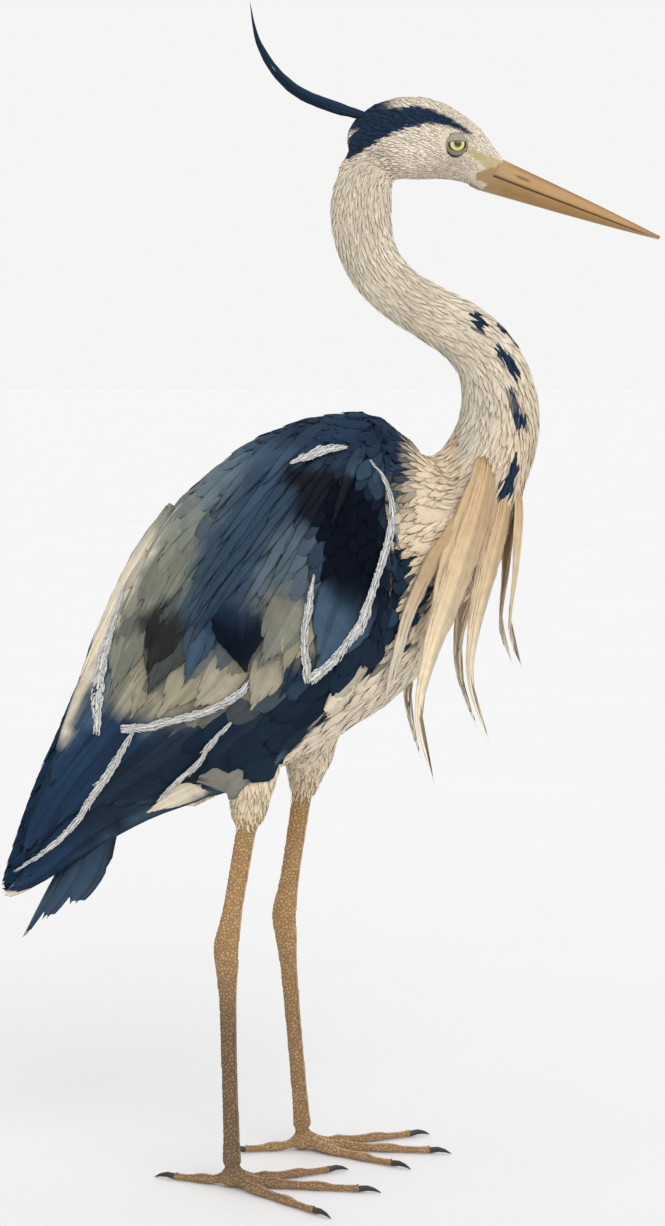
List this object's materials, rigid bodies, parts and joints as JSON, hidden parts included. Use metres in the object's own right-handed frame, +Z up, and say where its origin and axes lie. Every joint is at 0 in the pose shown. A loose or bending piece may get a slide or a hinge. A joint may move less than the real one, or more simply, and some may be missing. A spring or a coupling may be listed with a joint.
{
  "type": "grey heron",
  "caption": "Life-size grey heron standing at rest, with an S-curved neck, dagger bill, folded wings, nape and breast plumes and long spread toes; a still figure on its own feet.",
  "frame": {"origin": "centre of the bounding box at floor level, under the bird", "axes": "+Z up, +X the way the bill points, +Y to the bird's left"},
  "size_m": [0.4824, 0.1954, 0.8601],
  "materials": {
    "pale_feather": "matt grey-white and cream contour feathers",
    "slate_feather": "soft slate-blue to near-black wing feathers with pale fringes",
    "ink_feather": "blue-black, slight sheen",
    "cream_feather": "matt cream, loose and slender",
    "bill_horn": "ochre horn, satin",
    "leg_scute": "ochre-brown scaled skin, dry",
    "claw_horn": "dark horn, satin",
    "eye": "wet gloss, pale yellow iris and black pupil"
  },
  "bodies": {
    "root": {"ankle_left": "leg_scute", "ankle_right": "leg_scute", "bill_lower": "bill_horn", "bill_upper": "bill_horn", "breast_plume_front_left": "cream_feather", "breast_plume_front_right": "cream_feather", "breast_plume_middle_left": "cream_feather", "breast_plume_middle_right": "cream_feather", "breast_plume_outer_left": "cream_feather", "breast_plume_outer_right": "cream_feather", "claw_hind_left": "claw_horn", "claw_hind_right": "claw_horn", "claw_inner_left": "claw_horn", "claw_inner_right": "claw_horn", "claw_middle_left": "claw_horn", "claw_middle_right": "claw_horn", "claw_outer_left": "claw_horn", "claw_outer_right": "claw_horn", "crest_plume_left": "ink_feather", "crest_plume_right": "ink_feather", "eye_left": "eye", "eye_right": "eye", "foot_left": "leg_scute", "foot_right": "leg_scute", "head": "pale_feather", "neck_base": "pale_feather", "neck_lower_bend": "pale_feather", "neck_upper": "pale_feather", "neck_upper_bend": "pale_feather", "shank_left": "leg_scute", "shank_right": "leg_scute", "tail": "ink_feather", "tarsus_left": "leg_scute", "tarsus_right": "leg_scute", "thigh_left": "cream_feather", "thigh_right": "cream_feather", "toe_hind_left": "leg_scute", "toe_hind_right": "leg_scute", "toe_inner_left": "leg_scute", "toe_inner_right": "leg_scute", "toe_middle_left": "leg_scute", "toe_middle_right": "leg_scute", "toe_outer_left": "leg_scute", "toe_outer_right": "leg_scute", "trunk": "pale_feather", "wing_left": "slate_feather", "wing_right": "slate_feather"}
  },
  "joints": []
}
